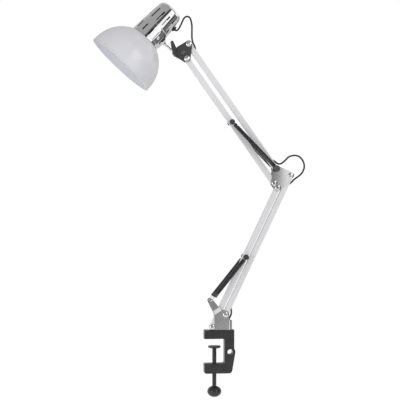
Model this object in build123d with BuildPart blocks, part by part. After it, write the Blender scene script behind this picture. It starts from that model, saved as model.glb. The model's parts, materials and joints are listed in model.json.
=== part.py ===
from build123d import *
import math
import os

os.makedirs("parts", exist_ok=True)

# Clamp-on, spring-balanced double-arm lamp. Sizes are in millimetres and degrees.
# The origin is on the underside of the clamp's upper jaw, on the clamping screw's axis.
# X runs towards the clamp's spine, Y to the rear and Z up. A pair (x, z) is a place in
# the lamp's middle plane, Y = 0.

# Clearances
running_play = 0.05
seat_gap = 0.1
side_play = 0.2
soft_gap = 0.3

# Clamp
upper_jaw = 20.0
lower_jaw = 23.0
throat = 56.5
jaw_tip = -24.0
spine_inner = 22.6
spine_outer = 45.0
clamp_width = 24.0
clamp_heel = 4.5
heel_corner = 8.0
throat_corner = 4.0
jaw_corner = 4.0
clamp_edge = 1.2
cross_bore_place = (35.5, -30.5)
cross_bore_radius = 6.5
cross_boss_wall = 5.6
post_bore_depth = 34.0

# Clamping screw, its swivel pad and its knob
screw_radius = 4.95
screw_neck = 4.0
screw_neck_length = 3.3
screw_length = 105.0
pad_top = -16.6
pad_radius = 14.5
pad_thickness = 5.7
pad_bevel = 1.0
knob_top = -108.3
knob_height = 26.4
knob_radius = 16.3
knob_flutes = 10
knob_flute_radius = 3.0
knob_flute_depth = 0.4

# Square tube arms
tube_size = 12.0
tube_wall = 1.0
lower_arm_length = 355.0
lower_arm_lean = 25.5
upper_arm_length = 350.0
upper_arm_lean = 35.5
lower_pair = 42.0
lower_pair_rise = 43.0
upper_pair = 33.75
upper_pair_rise = 83.2
base_main_pivot = (25.4, 55.6)
elbow_step = (-35.0, 15.6)
bush_radius = 4.0
bush_proud = 0.3
bolt_radius = 2.5
cord_slot = (14.0, 6.0)
cord_slot_from_pivot = 20.5

# Bolts and nuts
head_radius = 6.5
link_head_radius = 7.0
head_height = 3.2
nut_radius = 4.8
nut_height = 4.0
bolt_stub = 1.0

# Base bracket and its post
sheet = 1.5
base_gap = 0.5
post_place = 33.3
post_rise = 20.0
web_height = 21.5
main_lobe = 8.5
second_lobe = 6.4
waist_place = (5.4, 25.0)
waist_radius = 4.4
ear_root = (8.0, 60.0)
ear_root_radius = 9.0
ear_tip = (-9.4, 87.6)
ear_tip_radius = 5.0
ear_step = 6.0
ear_step_from = 1.0
ear_step_run = 10.0
ear_hole_radius = 2.0

# Balance springs
spring_offset = 16.5
coil_radius = 4.1
wire_radius = 0.9
lower_turns = 11
upper_turns = 12
wire_sides = 4
hook_radius = 1.1
hook_bend = 2.4
hook_inner_reach = 1.2
plug_length = 9.0
plug_from_hook = 12.0
eye_radius = 6.2
eye_thickness = 2.2
spool_core = 4.2
spool_flange = 6.4
spool_flange_thickness = 2.0
elbow_spool_flange = 7.4
spring_pin_radius = 2.5
lower_pin_along = 178.0
upper_pin_along = 172.0

# Elbow plates and head link
elbow_lobe = 7.6
link_thickness = 3.0
link_lobe = 8.0
link_corner_radius = 5.0
link_edge = 1.0
link_corners = ((-23.0, -10.5), (-20.0, -27.5))
tilt_step = (-13.7, -19.0)
tilt_bolt_radius = 3.0
tilt_head_radius = 5.3
tilt_head_height = 2.4
wing_hub_radius = 7.0
wing_span = 15.0
wing_turn = -46.0
wing_width = 5.0
wing_height = 11.0
knuckle_hub = 8.0
knuckle_half_width = 6.0
knuckle_arm = (-15.0, -5.0)
knuckle_arm_radius = 5.3
fin_points = ((-24.3, 23.3), (-18.5, -2.5), (-10.6, -8.8))
fin_radii = (3.0, 4.5, 4.0)

# Lamp head. Heights run up its axis: the cap's from its foot, the lampholder's from its seat.
head_rise = 47.3
shade_radius = 83.3
shade_wall = 1.0
shade_skirt = 7.0
rim_bead = 1.4
cap_foot_radius = 36.2
cap_step_above = 37.5
cap_step_radius = 34.2
cap_step_in = 0.8
cap_step_rise = 1.5
cap_edge = 1.0
cap_height = 92.7
cap_top_radius = 28.8
cap_shoulder = 11.0
cap_wall = 1.0
slot_count = 12
slot_width = 3.4
upper_slot = (45.0, 72.5)
lower_slot = (7.5, 26.5)
strap_above = 6.0
strap_height = 24.0
strap_thickness = 1.5
strap_half_angle = 66.0
strap_screw_angle = 55.0
strap_screw_radius = 4.2
strap_screw_height = 2.4
rod_above = 23.1
rod_reach = 76.2
rod_radius = 2.5
rod_length = 42.5
rod_boss_radius = 4.6
rod_boss_length = 4.0
gland_above = 63.4
gland_flange = 6.4
gland_flange_height = 3.2
gland_nose = 3.9
gland_nose_height = 1.6

# Lampholder
holder_radius = 19.6
holder_below = 13.1
holder_above = 32.9
holder_flange = 24.0
holder_flange_height = 3.5
holder_bore = 14.35
holder_floor_above = 26.9
shell_thickness = 0.8
shell_below = 9.1
shell_above = 18.9
contact_radius = 4.5
contact_height = 4.0
ring_outer = 26.0
ring_height = 4.2

# Cord, put-away coil of the lead, its tie and its plug
cord_radius = 2.0
cord_sides = 6
gland_lead = 2.6
lead_turns = 4
lead_pitch = 4.6
lead_inner = 12.2
lead_centre_x = 19.0
tie_thickness = 1.2
tie_width = 9.0
tie_corner = 3.0
lead_pass = (48.0, 66.0)
plug_place = (43.0, 84.0)
relief_length = 20.0
relief_radius = 3.4
plug_length_along = 35.0
plug_edge = 2.0
plug_width = 34.0
plug_thickness = 13.6
plug_nose_width = 24.0
plug_shoulder = 12.0
pin_spacing = 18.6
pin_radius = 2.0
pin_length = 19.0


def turned(angle):
    """A unit heading in the middle plane, measured from +X towards +Z."""
    return math.cos(math.radians(angle)), math.sin(math.radians(angle))


def moved(place, heading, distance):
    return place[0] + heading[0] * distance, place[1] + heading[1] * distance


def stepped(place, step):
    return place[0] + step[0], place[1] + step[1]


def at(place, y=0.0):
    return Vector(place[0], y, place[1])


def side(y):
    """The plane at Y = y seen from the front, with X to the right and Z up."""
    return Plane.XZ.offset(-y)


def save(part, name):
    part.label = name
    export_step(part, f"parts/{name}.step")


# Places that follow from the sizes
lower_heading = turned(90 - lower_arm_lean)
upper_heading = turned(90 + upper_arm_lean)
base_second_pivot = moved(base_main_pivot, turned(lower_pair_rise), -lower_pair)
elbow_main_lower = moved(base_main_pivot, lower_heading, lower_arm_length)
elbow_second_lower = moved(base_second_pivot, lower_heading, lower_arm_length)
elbow_main_upper = stepped(elbow_main_lower, elbow_step)
elbow_second_upper = moved(elbow_main_upper, turned(upper_pair_rise), -upper_pair)
link_main_pivot = moved(elbow_main_upper, upper_heading, upper_arm_length)
link_second_pivot = moved(elbow_second_upper, upper_heading, upper_arm_length)
tilt_pivot = stepped(link_main_pivot, tilt_step)
lower_pin = moved(base_second_pivot, lower_heading, lower_pin_along)
upper_pin = moved(elbow_second_upper, upper_heading, upper_pin_along)

tube_half = tube_size / 2
bush_half = tube_half + bush_proud
cheek_inner = bush_half + side_play
cheek_outer = cheek_inner + sheet
link_outer = cheek_inner + link_thickness
post_radius = cheek_inner - running_play
bracket_foot = upper_jaw + base_gap
bush_bore = bolt_radius + running_play
clamp_half = clamp_width / 2

shade_inner = shade_radius - shade_wall
right_angle = 90.0


def dome_at(radius, sphere=shade_radius):
    """How far up the head's axis the dome is at a radius."""
    return shade_skirt + math.sqrt(sphere**2 - radius**2)


# Head: the dome carries the cap and the lampholder, and the rod hangs them from the knuckle
cap_foot = dome_at(cap_foot_radius - cap_wall) + seat_gap
cap_step = cap_foot + cap_step_above
cap_top = cap_foot + cap_height
strap_from = cap_foot + strap_above
rod_along = cap_foot + rod_above
gland_along = cap_foot + gland_above
neck = holder_radius + soft_gap
holder_seat = dome_at(neck) + side_play
holder_foot = holder_seat - holder_below
holder_top = holder_seat + holder_above
holder_floor = holder_seat + holder_floor_above
shell_from = holder_seat - shell_below
shell_to = holder_seat + shell_above
ring_top = dome_at(ring_outer, shade_inner) - soft_gap

head_heading = turned(head_rise)
head_side = turned(head_rise - right_angle)
rod_seat = moved(stepped(tilt_pivot, knuckle_arm), head_side, -rod_reach)
rim_centre = moved(rod_seat, head_heading, -rod_along)
head_plane = Plane(origin=at(rim_centre), x_dir=at(head_side), z_dir=at(head_heading))
head_section = Plane(origin=at(rim_centre), x_dir=at(head_side), z_dir=(0, -1, 0))
head_axis = Axis(at(rim_centre), at(head_heading))


def head_place(radius, along):
    """A place in the middle plane, out from the head's axis towards the link."""
    return moved(moved(rim_centre, head_heading, along), head_side, radius)


# Clamp frame: a cast C with a bore for the post and a cross bore for use on an upright. Its
# spine tapers from the boss round the cross bore to a rounded heel.
heel_place = (spine_outer - clamp_heel - heel_corner, heel_corner - throat - lower_jaw)
with BuildPart() as clamp_frame:
    with BuildSketch(Plane.XZ) as clamp_outline:
        with BuildLine():
            Polyline(
                (jaw_tip, 0),
                (spine_inner, 0),
                (spine_inner, -throat),
                (jaw_tip, -throat),
                (jaw_tip, -throat - lower_jaw),
                (heel_place[0], -throat - lower_jaw),
                (heel_place[0], cross_bore_place[1]),
                (spine_outer, cross_bore_place[1] + cross_boss_wall),
                (spine_outer, upper_jaw),
                (jaw_tip, upper_jaw),
                close=True,
            )
        make_face()
        inner_corners = [v for v in clamp_outline.vertices() if abs(v.X - spine_inner) < 0.01]
        fillet(inner_corners, throat_corner)
        low_corner = clamp_outline.vertices().group_by(Axis.Y)[0].sort_by(Axis.X)[0]
        fillet(low_corner, jaw_corner)
    extrude(amount=clamp_half, both=True)
    with BuildSketch(Plane.XZ):
        with Locations(cross_bore_place):
            Circle(cross_bore_radius + cross_boss_wall)
        with Locations(heel_place):
            Circle(heel_corner)
        make_hull()
    extrude(amount=clamp_half, both=True)
    fillet(clamp_frame.faces().filter_by(Axis.Y).edges(), clamp_edge)
    with BuildSketch(Plane.XY.offset(upper_jaw)):
        with Locations((post_place, 0)):
            Circle(post_radius + running_play)
    extrude(amount=-post_bore_depth, mode=Mode.SUBTRACT)
    with BuildSketch(Plane.XZ):
        with Locations(cross_bore_place):
            Circle(cross_bore_radius)
    extrude(amount=clamp_width, both=True, mode=Mode.SUBTRACT)
    with BuildSketch(Plane.XY.offset(-throat)):
        Circle(screw_radius + running_play)
    extrude(amount=-lower_jaw, mode=Mode.SUBTRACT)
save(clamp_frame.part, "clamp_frame")

# Swivel pad on the screw's neck
pad_bottom = pad_top - pad_thickness
with BuildPart() as clamp_pad:
    with BuildSketch(Plane.XZ):
        with BuildLine():
            Polyline(
                (0, pad_top),
                (pad_radius - pad_bevel, pad_top),
                (pad_radius, pad_top - pad_bevel),
                (pad_radius, pad_bottom + 2 * pad_bevel),
                (pad_radius - 5 * pad_bevel, pad_bottom),
                (screw_neck + running_play, pad_bottom),
                (screw_neck + running_play, pad_bottom + screw_neck_length),
                (0, pad_bottom + screw_neck_length),
                close=True,
            )
        make_face()
    revolve(axis=Axis.Z)
save(clamp_pad.part, "clamp_pad")

screw_end = pad_bottom - screw_length
with BuildPart() as clamp_screw:
    with BuildSketch(Plane.XZ):
        with BuildLine():
            Polyline(
                (0, pad_bottom + screw_neck_length - seat_gap),
                (screw_neck, pad_bottom + screw_neck_length - seat_gap),
                (screw_neck, pad_bottom - seat_gap),
                (screw_radius, pad_bottom - seat_gap),
                (screw_radius, screw_end),
                (0, screw_end),
                close=True,
            )
        make_face()
    revolve(axis=Axis.Z)
save(clamp_screw.part, "clamp_screw")

knob_middle = knob_top - knob_height / 2
with BuildPart() as clamp_knob:
    with BuildSketch(Plane.XZ):
        with BuildLine():
            EllipticalCenterArc(
                (0, knob_middle), knob_radius, knob_height / 2, start_angle=-90, arc_size=180
            )
            Line((0, knob_top), (0, knob_top - knob_height))
        make_face()
    revolve(axis=Axis.Z)
    with BuildSketch(Plane.XY.offset(knob_top)):
        with PolarLocations(knob_radius + knob_flute_radius - knob_flute_depth, knob_flutes):
            Circle(knob_flute_radius)
    extrude(amount=-knob_height, mode=Mode.SUBTRACT)
    with BuildSketch(Plane.XY.offset(screw_end)):
        Circle(screw_radius)
    extrude(amount=knob_top - screw_end, mode=Mode.SUBTRACT)
save(clamp_knob.part, "clamp_knob")

# Swivel post, held by the bracket's fold and turning in the clamp's bore
post_foot = upper_jaw - post_bore_depth + soft_gap
with BuildPart() as swivel_post:
    with BuildSketch(Plane.XY.offset(post_foot)):
        with Locations((post_place, 0)):
            Circle(post_radius)
    extrude(amount=upper_jaw + post_rise - post_foot)
    chamfer(swivel_post.edges().group_by(Axis.Z)[0], 1.0)
save(swivel_post.part, "swivel_post")

# Base bracket: one folded sheet, wrapped round the post, with an ear stepped out on each side
ear_run = Vector(*ear_tip) - Vector(*ear_root)
ear_heading = (ear_run.X / ear_run.length, ear_run.Y / ear_run.length)
ear_strip = Plane(
    origin=at(ear_root), x_dir=at(ear_heading), z_dir=at((ear_heading[1], -ear_heading[0]))
)
ear_out = cheek_inner + ear_step
with BuildPart() as ear:
    with BuildSketch(ear_strip):
        with BuildLine():
            Polyline(
                (-ear_root_radius, cheek_inner),
                (ear_step_from, cheek_inner),
                (ear_step_from + ear_step_run, ear_out),
                (ear_run.length + ear_tip_radius, ear_out),
                (ear_run.length + ear_tip_radius, ear_out + sheet),
                (ear_step_from + ear_step_run - sheet / 2, ear_out + sheet),
                (ear_step_from - sheet / 2, cheek_outer),
                (-ear_root_radius, cheek_outer),
                close=True,
            )
        make_face()
    extrude(amount=2 * ear_root_radius, both=True)
    with BuildSketch(Plane.XZ):
        with Locations(ear_tip):
            Circle(ear_tip_radius)
        with Locations(ear_root):
            Circle(ear_root_radius)
        make_hull()
    extrude(amount=2 * ear_out, mode=Mode.INTERSECT)
    with BuildSketch(Plane.XZ):
        with Locations(ear_tip):
            Circle(ear_hole_radius)
    extrude(amount=2 * ear_out, mode=Mode.SUBTRACT)

with BuildPart() as base_bracket:
    with BuildSketch(side(-cheek_inner)):
        with Locations(base_main_pivot):
            Circle(main_lobe)
        with Locations(waist_place):
            Circle(waist_radius)
        with Locations(ear_root):
            Circle(ear_root_radius)
        with Locations((post_place - sheet, bracket_foot + web_height / 2)):
            Rectangle(2 * sheet, web_height)
        make_hull()
        with Locations(base_main_pivot):
            Circle(bolt_radius + seat_gap, mode=Mode.SUBTRACT)
    extrude(amount=sheet)
    with BuildSketch(side(-cheek_inner)):
        with Locations(base_second_pivot):
            Circle(second_lobe)
        with Locations(waist_place):
            Circle(waist_radius)
        make_hull()
        with Locations(base_second_pivot):
            Circle(bolt_radius + seat_gap, mode=Mode.SUBTRACT)
    extrude(amount=sheet)
    add(ear.part)
    mirror(about=Plane.XZ)
    with BuildSketch(Plane.XY.offset(bracket_foot)):
        with Locations((post_place, 0)):
            Circle(cheek_outer)
            Circle(cheek_inner, mode=Mode.SUBTRACT)
        with Locations((post_place - cheek_outer, 0)):
            Rectangle(2 * cheek_outer, 4 * cheek_outer, mode=Mode.SUBTRACT)
    extrude(amount=web_height)
save(base_bracket.part, "base_bracket")


def pan_bolts(places, cheek, name, shank=bolt_radius, head=head_radius, height=head_height):
    """Round-headed bolts from the front of a pair of cheeks to a stub behind their nuts."""
    tip = cheek + nut_height + bolt_stub
    with BuildPart() as bolts:
        with BuildSketch(side(-cheek)):
            with Locations(*places):
                Circle(head)
        extrude(amount=height)
        fillet(bolts.edges().group_by(Axis.Y)[0], height * 0.75)
        with BuildSketch(side(-cheek)):
            with Locations(*places):
                Circle(shank)
        extrude(amount=-cheek - tip)
    save(bolts.part, name)


def hex_nuts(places, cheek, name):
    with BuildPart() as nuts:
        with BuildSketch(side(cheek)):
            with Locations(*places):
                RegularPolygon(nut_radius, 6)
                Circle(bolt_radius, mode=Mode.SUBTRACT)
        extrude(amount=-nut_height)
    save(nuts.part, name)


def square_bar(start, heading, length, name, corded=False, pin_along=None):
    """A square tube between two pivots, with rounded ends."""
    flat = Plane(origin=at(start), x_dir=at(heading), z_dir=(0, -1, 0))
    with BuildPart() as bar:
        with BuildSketch(flat.offset(-tube_half)):
            with Locations((length / 2, 0)):
                SlotCenterToCenter(length, tube_size)
        extrude(amount=tube_size)
        with BuildSketch(flat.offset(tube_wall - tube_half)):
            with Locations((length / 2, 0)):
                Rectangle(length + 2 * tube_size, tube_size - 2 * tube_wall)
        extrude(amount=tube_size - 2 * tube_wall, mode=Mode.SUBTRACT)
        with BuildSketch(flat):
            with Locations((0, 0), (length, 0)):
                Circle(bush_radius)
            if pin_along:
                with Locations((pin_along, 0)):
                    Circle(spring_pin_radius)
        extrude(amount=tube_size, both=True, mode=Mode.SUBTRACT)
        if corded:
            with BuildSketch(Plane(origin=flat.origin, x_dir=flat.x_dir, z_dir=-flat.y_dir)):
                with Locations((cord_slot_from_pivot, 0), (length - cord_slot_from_pivot, 0)):
                    SlotOverall(*cord_slot)
            extrude(amount=tube_size, mode=Mode.SUBTRACT)
    save(bar.part, name)


def pivot_bushes(places, name):
    """Plain bushes across a bar, a little proud of its sides."""
    with BuildPart() as bushes:
        with BuildSketch(side(bush_half)):
            with Locations(*places):
                Circle(bush_radius)
                Circle(bush_bore, mode=Mode.SUBTRACT)
        extrude(amount=2 * bush_half)
    save(bushes.part, name)


def spring_spools(place, seat, flange, name):
    """A grooved black spool on each end of a cross pin."""
    groove_out = spring_offset + eye_thickness / 2 + soft_gap
    groove_in = spring_offset - eye_thickness / 2 - soft_gap
    with BuildPart() as spools:
        with BuildSketch(side(-seat)):
            with Locations(place):
                Circle(spool_core)
                Circle(spring_pin_radius, mode=Mode.SUBTRACT)
        extrude(amount=groove_out - seat)
        with BuildSketch(side(-groove_out)):
            with Locations(place):
                Circle(flange)
        extrude(amount=spool_flange_thickness)
        fillet(spools.edges().group_by(Axis.Y)[0], spool_flange_thickness * 0.6)
        with BuildSketch(side(-groove_in)):
            with Locations(place):
                Circle(spool_core + 1.0)
                Circle(spring_pin_radius, mode=Mode.SUBTRACT)
        extrude(amount=-min(spool_flange_thickness, groove_in - seat))
        mirror(about=Plane.XZ)
    save(spools.part, name)


def cross_pin(place, radius, name):
    """A plain pin across the lamp whose ends lie inside the spools."""
    reach = spring_offset + eye_thickness / 2 + soft_gap
    with BuildPart() as pin:
        with BuildSketch(side(reach)):
            with Locations(place):
                Circle(radius)
        extrude(amount=2 * reach)
    save(pin.part, name)


def helix_point(turn, pitch):
    """Place and heading on an upright coil about the Z axis, after so many turns."""
    angle = 2 * math.pi * turn
    swing = 2 * math.pi * coil_radius
    place = Vector(coil_radius * math.cos(angle), coil_radius * math.sin(angle), pitch * turn)
    flow = Vector(-swing * math.sin(angle), swing * math.cos(angle), pitch)
    return place, flow.normalized()


def biarc(place, flow, next_place, next_flow):
    """Two tangent arcs from one place and heading to the next."""
    span = next_place - place
    both = flow + next_flow
    spread = 2 * (1 - flow.dot(next_flow))
    if spread < 1e-6:
        reach = span.dot(span) / (2 * span.dot(both))
    else:
        reach = math.sqrt(span.dot(both) ** 2 + spread * span.dot(span)) - span.dot(both)
        reach /= spread
    first, last = place + flow * reach, next_place - next_flow * reach
    middle = (first + last) * 0.5
    TangentArc(place, middle, tangent=flow)
    TangentArc(middle, next_place, tangent=(last - first).normalized())


def least_gap(line, steps, apart, thickness):
    """The least clear distance between stretches of a tube that are apart along its line."""
    points = [line @ (i / steps) for i in range(steps + 1)]
    skip = math.ceil(apart / line.length * steps)
    nearest = min(
        (points[i] - points[j]).length
        for i in range(len(points))
        for j in range(i + skip, len(points))
    )
    return nearest - thickness


def coil_pair(start, heading, length, turns, name):
    """A coil in half-turn biarcs, wound upright and then laid in front of and behind the lamp."""
    pitch = length / turns
    with BuildLine() as winding:
        for half in range(2 * turns):
            biarc(*helix_point(half / 2, pitch), *helix_point((half + 1) / 2, pitch))
    wire = winding.wires()[0]
    with BuildPart() as coil:
        with BuildSketch(Plane(origin=wire @ 0, z_dir=wire % 0)):
            RegularPolygon(wire_radius, wire_sides)
        sweep(path=wire, clean=False)
    across = at((-heading[1], heading[0]))
    front = Plane(origin=at(start, -spring_offset), x_dir=across, z_dir=at(heading))
    rear = Plane(origin=at(start, spring_offset), x_dir=across, z_dir=at(heading))
    wound = coil.part.solids()[0]
    coils = Compound(children=[wound.moved(Location(place)) for place in (front, rear)])
    turn_length = math.hypot(2 * math.pi * coil_radius, pitch)
    gap = least_gap(wire, 24 * turns, turn_length * 0.75, 2 * wire_radius)
    print(name, "turns", turns, "pitch", round(pitch, 2), "least gap", round(gap, 2))
    save(coils, name)


def coil_seat(flange):
    """How far from a spool's axis a coil starts, clear of the spool's flange."""
    return flange + wire_radius + soft_gap


def spring_eyes(place, heading, seat, name):
    """An eye round each spool of a pin, with a shank and a plug that fills the coil's end."""
    with BuildPart() as eyes:
        with BuildSketch(side(-spring_offset + eye_thickness / 2)):
            with Locations(place):
                Circle(eye_radius)
                Circle(spool_core + running_play, mode=Mode.SUBTRACT)
        extrude(amount=eye_thickness)
        ring_middle = (eye_radius + spool_core) / 2
        root = at(moved(place, heading, ring_middle), -spring_offset)
        with BuildSketch(Plane(origin=root, z_dir=at(heading))):
            Circle(hook_radius - running_play)
        extrude(amount=seat - ring_middle)
        root = at(moved(place, heading, seat), -spring_offset)
        with BuildSketch(Plane(origin=root, z_dir=at(heading))):
            Circle(coil_radius - wire_radius - side_play)
        extrude(amount=plug_length)
        mirror(about=Plane.XZ)
    save(eyes.part, name)


def spring_line(start, end):
    """Heading and length from one spring anchor to the other."""
    run = Vector(*end) - Vector(*start)
    return (run.X / run.length, run.Y / run.length), run.length


# Lower arm
square_bar(base_main_pivot, lower_heading, lower_arm_length, "lower_main_bar", corded=True)
square_bar(
    base_second_pivot,
    lower_heading,
    lower_arm_length,
    "lower_second_bar",
    pin_along=lower_pin_along,
)
pivot_bushes((base_main_pivot, elbow_main_lower), "lower_main_bushes")
pivot_bushes((base_second_pivot, elbow_second_lower), "lower_second_bushes")
pan_bolts((base_main_pivot, base_second_pivot), cheek_outer, "base_bolts")
hex_nuts((base_main_pivot, base_second_pivot), cheek_outer, "base_nuts")
cross_pin(lower_pin, spring_pin_radius, "lower_spring_pin")
spring_spools(lower_pin, tube_half, spool_flange, "lower_spring_spools")

# Lower springs: a hook through each ear, a threaded plug, the coil and an eye on the bar's pin
eye_seat = coil_seat(spool_flange)
stud_seat = coil_seat(elbow_spool_flange)
lower_line, lower_reach = spring_line(ear_tip, lower_pin)
coil_pair(
    moved(ear_tip, lower_line, plug_from_hook),
    lower_line,
    lower_reach - plug_from_hook - eye_seat,
    lower_turns,
    "lower_coils",
)
hook_foot = at(ear_tip, hook_inner_reach - ear_out)
hook_turn = at(ear_tip, -spring_offset)
hook_end = at(moved(ear_tip, lower_line, plug_from_hook), -spring_offset)
with BuildLine() as hook_path:
    FilletPolyline(hook_foot, hook_turn, hook_end, radius=hook_bend)
with BuildPart() as lower_coil_hooks:
    with BuildSketch(Plane(origin=hook_foot, z_dir=hook_turn - hook_foot)):
        Circle(hook_radius)
    sweep(path=hook_path.wires()[0])
    with BuildSketch(Plane(origin=hook_end, z_dir=at(lower_line))):
        Circle(coil_radius - wire_radius - side_play)
    extrude(amount=plug_length)
    mirror(about=Plane.XZ)
save(lower_coil_hooks.part, "lower_coil_hooks")
spring_eyes(lower_pin, (-lower_line[0], -lower_line[1]), eye_seat, "lower_spring_eyes")

# Elbow: two flat plates, three bolts and a long stud that carries the upper springs
elbow_pivots = (elbow_main_upper, elbow_second_upper, elbow_main_lower, elbow_second_lower)
with BuildPart() as elbow_plates:
    with BuildSketch(side(-cheek_inner)):
        with Locations(*elbow_pivots):
            Circle(elbow_lobe)
        make_hull()
        with Locations(*elbow_pivots):
            Circle(bolt_radius + seat_gap, mode=Mode.SUBTRACT)
    extrude(amount=sheet)
    mirror(about=Plane.XZ)
save(elbow_plates.part, "elbow_plates")
pan_bolts(elbow_pivots[1:], cheek_outer, "elbow_bolts")
hex_nuts(elbow_pivots[1:], cheek_outer, "elbow_nuts")
cross_pin(elbow_main_upper, bolt_radius, "elbow_stud")
spring_spools(elbow_main_upper, cheek_outer, elbow_spool_flange, "elbow_spools")

# Upper arm
square_bar(elbow_main_upper, upper_heading, upper_arm_length, "upper_main_bar", corded=True)
square_bar(
    elbow_second_upper,
    upper_heading,
    upper_arm_length,
    "upper_second_bar",
    pin_along=upper_pin_along,
)
pivot_bushes((elbow_main_upper, link_main_pivot), "upper_main_bushes")
pivot_bushes((elbow_second_upper, link_second_pivot), "upper_second_bushes")
cross_pin(upper_pin, spring_pin_radius, "upper_spring_pin")
spring_spools(upper_pin, tube_half, spool_flange, "upper_spring_spools")
upper_line, upper_reach = spring_line(elbow_main_upper, upper_pin)
coil_pair(
    moved(elbow_main_upper, upper_line, stud_seat),
    upper_line,
    upper_reach - stud_seat - eye_seat,
    upper_turns,
    "upper_coils",
)
spring_eyes(elbow_main_upper, upper_line, stud_seat, "upper_coil_eyes")
spring_eyes(upper_pin, (-upper_line[0], -upper_line[1]), eye_seat, "upper_spring_eyes")

# Head link: two moulded cheeks that keep the head level, with the tilt bolt through them
link_pivots = (link_main_pivot, link_second_pivot)
with BuildPart() as link_cheeks:
    with BuildSketch(side(-cheek_inner)):
        with Locations(*link_pivots):
            Circle(link_lobe)
        with Locations(*[stepped(link_main_pivot, corner) for corner in link_corners]):
            Circle(link_corner_radius)
        make_hull()
        with Locations(*link_pivots):
            Circle(bolt_radius + seat_gap, mode=Mode.SUBTRACT)
        with Locations(tilt_pivot):
            Circle(tilt_bolt_radius + seat_gap, mode=Mode.SUBTRACT)
    extrude(amount=link_thickness)
    outer_face = link_cheeks.faces().sort_by(Axis.Y)[0]
    fillet(outer_face.outer_wire().edges(), link_edge)
    mirror(about=Plane.XZ)
save(link_cheeks.part, "link_cheeks")
pan_bolts(link_pivots, link_outer, "link_bolts", head=link_head_radius)
hex_nuts(link_pivots, link_outer, "link_nuts")
pan_bolts(
    (tilt_pivot,),
    link_outer,
    "tilt_bolt",
    shank=tilt_bolt_radius,
    head=tilt_head_radius,
    height=tilt_head_height,
)
with BuildPart() as tilt_wing_nut:
    with BuildSketch(side(link_outer)):
        with Locations(tilt_pivot):
            Circle(wing_hub_radius)
    extrude(amount=-nut_height)
    with BuildSketch(side(link_outer + nut_height)):
        with Locations(tilt_pivot):
            SlotOverall(2 * wing_span, wing_width, rotation=wing_turn)
    extrude(amount=-wing_height)
    with BuildSketch(side(link_outer)):
        with Locations(tilt_pivot):
            Circle(tilt_bolt_radius)
    extrude(amount=-nut_height - bolt_stub, mode=Mode.SUBTRACT)
save(tilt_wing_nut.part, "tilt_wing_nut")

# Stem rod and the knuckle that it turns in
rod_start = head_place(cap_foot_radius + strap_thickness, rod_along)
rod_plane = Plane(origin=at(rod_start), z_dir=at(head_side))
fin_places = [stepped(tilt_pivot, point) for point in fin_points]
with BuildPart() as knuckle:
    with BuildSketch(side(knuckle_half_width)):
        with Locations(tilt_pivot):
            Circle(knuckle_hub)
        with Locations(stepped(tilt_pivot, knuckle_arm)):
            Circle(knuckle_arm_radius)
        make_hull()
    extrude(amount=2 * knuckle_half_width)
    with BuildSketch(side(knuckle_half_width)):
        for place, radius in zip(fin_places, fin_radii):
            with Locations(place):
                Circle(radius)
        make_hull()
    extrude(amount=2 * knuckle_half_width)
    with BuildSketch(side(knuckle_half_width)):
        with Locations(tilt_pivot):
            Circle(tilt_bolt_radius + running_play)
    extrude(amount=2 * knuckle_half_width, mode=Mode.SUBTRACT)
    with BuildSketch(rod_plane):
        Circle(rod_radius + running_play)
    extrude(amount=rod_length + soft_gap, mode=Mode.SUBTRACT)
save(knuckle.part, "knuckle")

with BuildPart() as stem_rod:
    with BuildSketch(rod_plane):
        Circle(rod_radius)
    extrude(amount=rod_length)
    with BuildSketch(rod_plane):
        Circle(rod_boss_radius)
    extrude(amount=rod_boss_length)
save(stem_rod.part, "stem_rod")

# Saddle strap round the side of the cap that faces the arm, and its two screws
strap_inner = cap_foot_radius + seat_gap
strap_outer = strap_inner + strap_thickness
strap_reach = 2 * strap_outer
with BuildPart() as head_strap:
    with BuildSketch(head_plane.offset(strap_from)):
        Circle(strap_outer)
        Circle(strap_inner, mode=Mode.SUBTRACT)
        with BuildLine():
            sweep_side = math.radians(strap_half_angle)
            Polyline(
                (0, 0),
                (strap_reach * math.cos(sweep_side), -strap_reach * math.sin(sweep_side)),
                (2 * strap_reach, 0),
                (strap_reach * math.cos(sweep_side), strap_reach * math.sin(sweep_side)),
                close=True,
            )
        make_face(mode=Mode.INTERSECT)
    extrude(amount=strap_height)
    with BuildSketch(rod_plane):
        Circle(rod_boss_radius + seat_gap)
    extrude(amount=rod_boss_length, both=True, mode=Mode.SUBTRACT)
save(head_strap.part, "head_strap")

with BuildPart() as strap_screws:
    for turn in (-strap_screw_angle, strap_screw_angle):
        across, rear = turned(turn)
        facing = at(head_side) * across + Vector(0, rear, 0)
        middle = at(head_place(0, strap_from + strap_height / 2))
        with BuildSketch(Plane(origin=middle + facing * strap_outer, z_dir=facing)):
            Circle(strap_screw_radius)
        extrude(amount=strap_screw_height)
save(strap_screws.part, "strap_screws")

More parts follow.
